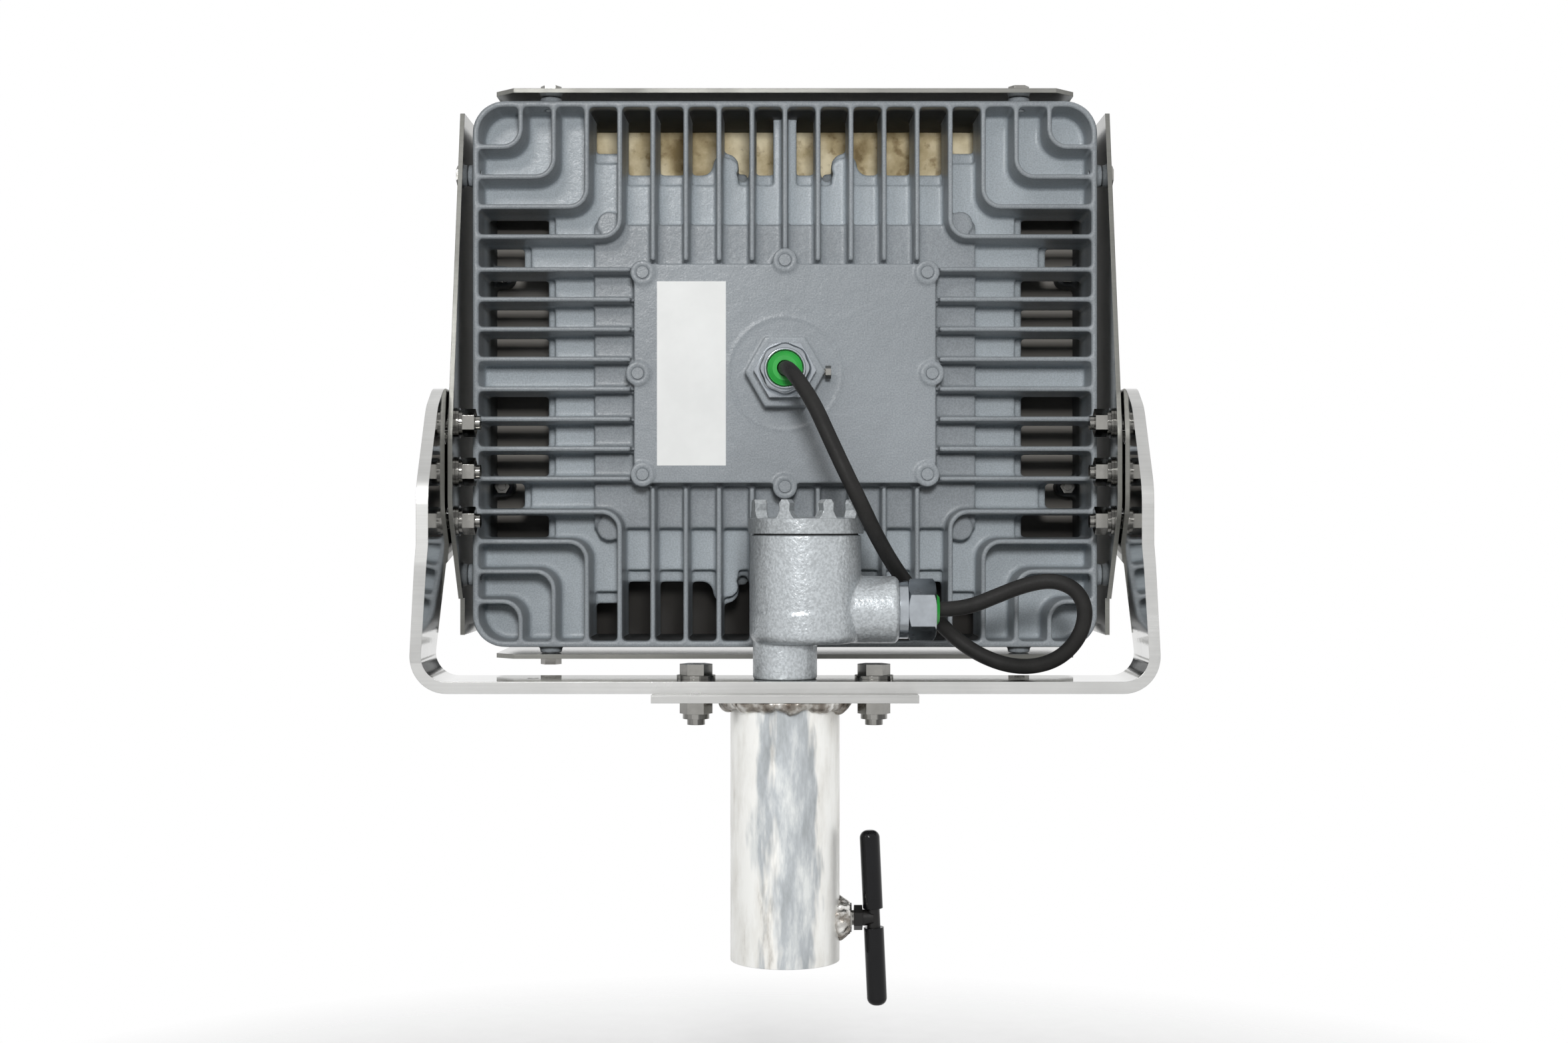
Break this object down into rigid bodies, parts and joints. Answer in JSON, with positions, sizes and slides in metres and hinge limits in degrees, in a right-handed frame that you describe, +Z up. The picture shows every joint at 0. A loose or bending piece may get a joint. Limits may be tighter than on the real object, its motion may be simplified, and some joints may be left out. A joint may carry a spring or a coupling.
{
  "type": "explosion-proof flood light",
  "caption": "Finned explosion-proof flood light that tilts in a bent yoke on a pole slip-fitter with a tee-handle clamp screw, corded to a round conduit box.",
  "frame": {"origin": "centre of the pole tube's open mouth", "axes": "+Z up along the pole tube, +Y the way the lamp shines at rest, +X towards the clamp handle"},
  "size_m": [0.4974, 0.251, 0.637],
  "materials": {
    "housing_paint": "satin blue-grey paint on cast aluminium",
    "cast_silver": "fine cast silver paint",
    "plate_steel": "brushed sheet",
    "yoke_steel": "brushed and partly polished",
    "stainless": "bright",
    "tube_metal": "streaky mill finish",
    "weld_metal": "weld bead",
    "gland_metal": "satin nickel plate",
    "frame_gold": "yellow chromate",
    "cord_rubber": "matt",
    "gasket_rubber": "matt",
    "bushing_green": "satin",
    "grip_black": "dipped vinyl",
    "black_steel": "black oxide",
    "label_white": "blank",
    "clear_glass": "clear",
    "board_white": "solder mask",
    "emitter_yellow": "phosphor",
    "driver_case": "anodised",
    "terminal_green": "moulded"
  },
  "bodies": {
    "pole_bracket": {"slip_fitter_tube": "tube_metal", "flange_plate": "plate_steel", "tube_weld": "weld_metal", "clamp_nut": "stainless", "clamp_nut_weld": "weld_metal", "yoke": "yoke_steel", "base_bolts": "stainless", "base_washers": "stainless", "base_nuts": "stainless", "conduit_box": "cast_silver", "entry_nipple": "stainless", "nipple_locknut": "stainless", "box_gland_body": "gland_metal", "box_gland_nut": "gland_metal", "box_gland_bushing": "bushing_green", "supply_cord": "cord_rubber"},
    "clamp_screw": {"clamp_screw": "stainless"},
    "tee_handle": {"tee_head": "black_steel", "tee_crossbar": "black_steel", "lower_grip": "grip_black", "upper_grip": "grip_black"},
    "cover_seal": {"cover_o_ring": "gasket_rubber"},
    "box_cover": {"conduit_cover": "cast_silver"},
    "lamp_head": {"heat_sink_housing": "housing_paint", "cover_gasket": "gasket_rubber", "rear_cover": "housing_paint", "cover_screws": "housing_paint", "hub_set_screw": "stainless", "blank_label": "label_white", "head_gland_body": "gland_metal", "head_gland_nut": "gland_metal", "head_gland_bushing": "bushing_green", "front_frame": "frame_gold", "frame_screws": "stainless", "frame_nuts": "stainless", "front_glass": "clear_glass", "glass_gasket": "gasket_rubber", "led_board": "board_white", "led_emitters": "emitter_yellow", "led_driver": "driver_case", "driver_screws": "stainless", "terminal_block": "terminal_green", "top_guard": "plate_steel", "bottom_guard": "plate_steel", "left_guard": "plate_steel", "right_guard": "plate_steel", "guard_bolts": "stainless", "pivot_bolts": "stainless", "lock_bolts": "stainless", "tilt_washers": "stainless", "tilt_lock_washers": "stainless", "tilt_nuts": "stainless"}
  },
  "joints": [
    {"name": "tilt", "type": "hinge", "parent": "pole_bracket", "child": "lamp_head", "pos_m": [0, 0.055, 0.327], "axis": [1, 0, 0], "range_deg": [-25, 45], "deforming": ["supply_cord"]},
    {"name": "clamp_travel", "type": "slide", "parent": "pole_bracket", "child": "clamp_screw", "axis": [1, 0, 0], "range_m": [-0.0012, 0.006]},
    {"name": "clamp_turn", "type": "hinge", "parent": "clamp_screw", "child": "tee_handle", "pos_m": [0.0461, 0, 0.0275], "axis": [1, 0, 0], "range_deg": [-288, 1440]},
    {"name": "cover_lift", "type": "slide", "parent": "pole_bracket", "child": "cover_seal", "axis": [0, 0, 1], "range_m": [0, 0.006]},
    {"name": "cover_turn", "type": "hinge", "parent": "cover_seal", "child": "box_cover", "pos_m": [0.014, 0, 0.2855], "axis": [0, 0, 1], "range_deg": [0, 1080]}
  ],
  "couplings": [
    {"joint": "clamp_travel", "follows": "clamp_turn", "m_per_rad": 0.00023873},
    {"joint": "cover_lift", "follows": "cover_turn", "m_per_rad": 0.00031831}
  ]
}
